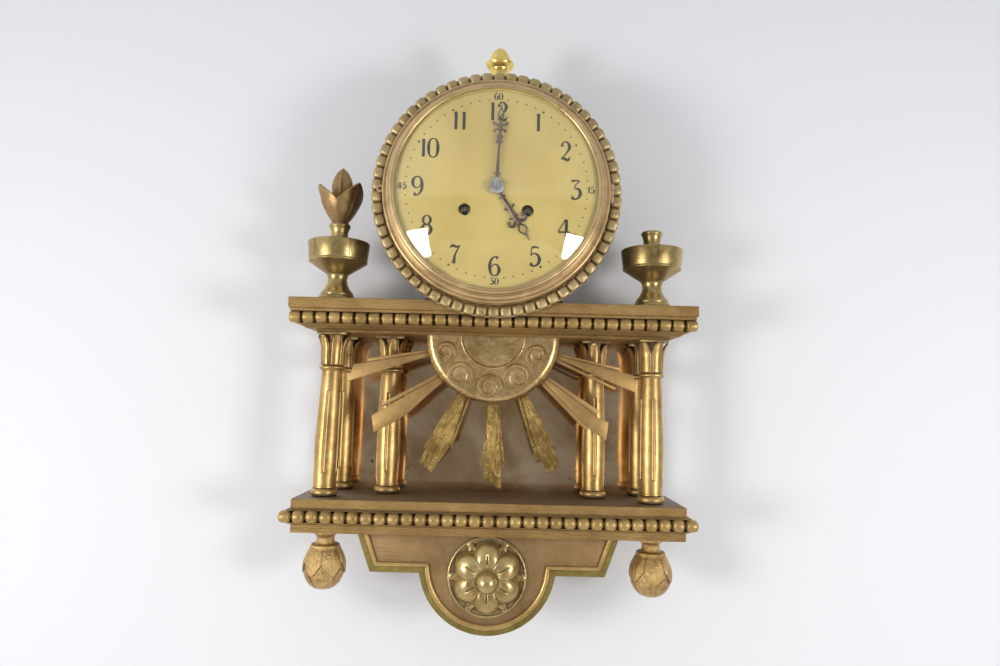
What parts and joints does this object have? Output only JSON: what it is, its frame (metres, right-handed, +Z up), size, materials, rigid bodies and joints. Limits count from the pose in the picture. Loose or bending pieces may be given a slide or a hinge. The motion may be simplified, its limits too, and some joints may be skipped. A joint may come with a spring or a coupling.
{
  "type": "wall clock",
  "caption": "Gilt wall clock shaped as a small portico: domed dial with hinged glass door, beaded cornice and shelf, columns before a mirror, half sun, urns, pendants and apron.",
  "frame": {"origin": "centre of the hanging hole, on the wall plane at the back of the clock", "axes": "+X to the viewer's right, +Z up, the clock stands out of the wall towards -Y"},
  "size_m": [0.417, 0.1658, 0.616],
  "materials": {
    "old_gilding": "carved wood with worn matte gilding over red bole",
    "ray_gilding": "darker gilding, rubbed along the ridges",
    "bronze_gilding": "gilding toned to a dull bronze colour",
    "dark_wood": "dark stained softwood, waxed",
    "old_mirror": "old silvered glass, spotted and greyed",
    "gilt_brass": "turned brass with a pinkish gilt lacquer",
    "door_glass": "clear domed glass with a light tint",
    "dial_face": "cream painted dial plate, yellowed",
    "blued_steel": "steel blued to a brown violet",
    "bright_steel": "polished steel",
    "movement_brass": "planished brass with a light tarnish"
  },
  "bodies": {
    "case": {"backboard": "dark_wood", "back_tongue": "dark_wood", "hanger_plate": "movement_brass", "mirror_glass": "old_mirror", "cornice": "old_gilding", "cornice_beads": "old_gilding", "lower_shelf": "old_gilding", "shelf_beads": "old_gilding", "apron": "old_gilding", "rosette": "bronze_gilding", "column_front_left": "old_gilding", "column_front_right": "old_gilding", "column_inner_left": "old_gilding", "column_inner_right": "old_gilding", "half_column_left": "old_gilding", "half_column_right": "old_gilding", "sun_disc": "old_gilding", "sun_rays": "ray_gilding", "urn_left": "bronze_gilding", "urn_right": "bronze_gilding", "urn_flower": "old_gilding", "pendant_left": "old_gilding", "pendant_right": "old_gilding", "drum_saddle": "dark_wood", "drum_case": "dark_wood", "drum_back": "dark_wood", "top_finial": "gilt_brass", "bead_frame": "gilt_brass", "frame_beads": "gilt_brass", "hinge_leaf": "gilt_brass", "hinge_pin": "bright_steel", "mount_ring": "movement_brass", "dial": "dial_face", "front_plate": "movement_brass", "back_plate": "movement_brass", "plate_pillars": "movement_brass", "bell": "movement_brass", "bell_post": "movement_brass"},
    "door": {"door_bezel": "gilt_brass", "door_glass": "door_glass", "door_catch": "gilt_brass"},
    "minute": {"cannon_pinion": "movement_brass", "minute_hand": "blued_steel", "hand_nut": "bright_steel"},
    "hour": {"hour_wheel": "movement_brass", "hour_hand": "blued_steel"},
    "motion_wheel": {"minute_wheel": "movement_brass"},
    "third": {"third_wheel": "movement_brass"},
    "centre": {"centre_arbor": "movement_brass"},
    "going_drive": {"going_barrel": "movement_brass"},
    "escape": {"escape_wheel": "movement_brass"},
    "strike_drive": {"strike_barrel": "movement_brass"},
    "strike_pins": {"pin_wheel": "movement_brass"},
    "going_square": {"going_winding_arbor": "bright_steel"},
    "strike_square": {"strike_winding_arbor": "bright_steel"},
    "pendulum_swing": {"pendulum": "movement_brass"},
    "pallets": {"anchor": "bright_steel"},
    "hammer": {"bell_hammer": "bright_steel"}
  },
  "joints": [
    {"name": "door_hinge", "type": "hinge", "parent": "case", "child": "door", "pos_m": [0.1163, -0.1309, -0.072], "axis": [0, 0, 1], "range_deg": [0, 100]},
    {"name": "minute_turn", "type": "hinge", "parent": "case", "child": "minute", "pos_m": [0, -0.14, -0.072], "axis": [0, 1, 0], "continuous": true},
    {"name": "hour_turn", "type": "hinge", "parent": "case", "child": "hour", "pos_m": [0, -0.14, -0.072], "axis": [0, 1, 0], "continuous": true},
    {"name": "motion_wheel_turn", "type": "hinge", "parent": "case", "child": "motion_wheel", "pos_m": [-0.01353, -0.132, -0.07692], "axis": [0, 1, 0], "continuous": true},
    {"name": "third_turn", "type": "hinge", "parent": "case", "child": "third", "pos_m": [-0.00339, -0.11, -0.0528], "axis": [0, 1, 0], "continuous": true},
    {"name": "centre_turn", "type": "hinge", "parent": "case", "child": "centre", "pos_m": [0, -0.11, -0.072], "axis": [0, 1, 0], "continuous": true},
    {"name": "going_barrel_turn", "type": "hinge", "parent": "case", "child": "going_drive", "pos_m": [0.0312, -0.11, -0.0945], "axis": [0, 1, 0], "continuous": true},
    {"name": "escape_turn", "type": "hinge", "parent": "case", "child": "escape", "pos_m": [0, -0.096, -0.03757], "axis": [0, 1, 0], "continuous": true},
    {"name": "strike_barrel_turn", "type": "hinge", "parent": "case", "child": "strike_drive", "pos_m": [-0.0312, -0.11, -0.0945], "axis": [0, 1, 0], "continuous": true},
    {"name": "pin_wheel_turn", "type": "hinge", "parent": "case", "child": "strike_pins", "pos_m": [-0.03985, -0.11, -0.05702], "axis": [0, 1, 0], "continuous": true},
    {"name": "going_winding_turn", "type": "hinge", "parent": "case", "child": "going_square", "pos_m": [0.0312, -0.11, -0.0945], "axis": [0, 1, 0], "continuous": true},
    {"name": "strike_winding_turn", "type": "hinge", "parent": "case", "child": "strike_square", "pos_m": [-0.0312, -0.11, -0.0945], "axis": [0, 1, 0], "continuous": true},
    {"name": "pendulum_swing_turn", "type": "hinge", "parent": "case", "child": "pendulum_swing", "pos_m": [0, -0.08, -0.01457], "axis": [0, 1, 0], "range_deg": [-3, 3]},
    {"name": "pallet_turn", "type": "hinge", "parent": "case", "child": "pallets", "pos_m": [0, -0.096, -0.02257], "axis": [0, 1, 0], "range_deg": [-3.6, 3.6]},
    {"name": "hammer_turn", "type": "hinge", "parent": "case", "child": "hammer", "pos_m": [-0.052, -0.06, -0.086], "axis": [0, 1, 0], "range_deg": [-20, 0]}
  ],
  "couplings": [
    {"joint": "hour_turn", "follows": "minute_turn", "ratio": 0.083333},
    {"joint": "motion_wheel_turn", "follows": "minute_turn", "ratio": -0.33333},
    {"joint": "centre_turn", "follows": "third_turn", "ratio": -0.083333},
    {"joint": "going_barrel_turn", "follows": "third_turn", "ratio": 0.013889},
    {"joint": "escape_turn", "follows": "third_turn", "ratio": -12},
    {"joint": "pin_wheel_turn", "follows": "strike_barrel_turn", "ratio": -6},
    {"joint": "pallet_turn", "follows": "pendulum_swing_turn", "ratio": 1.1761}
  ]
}
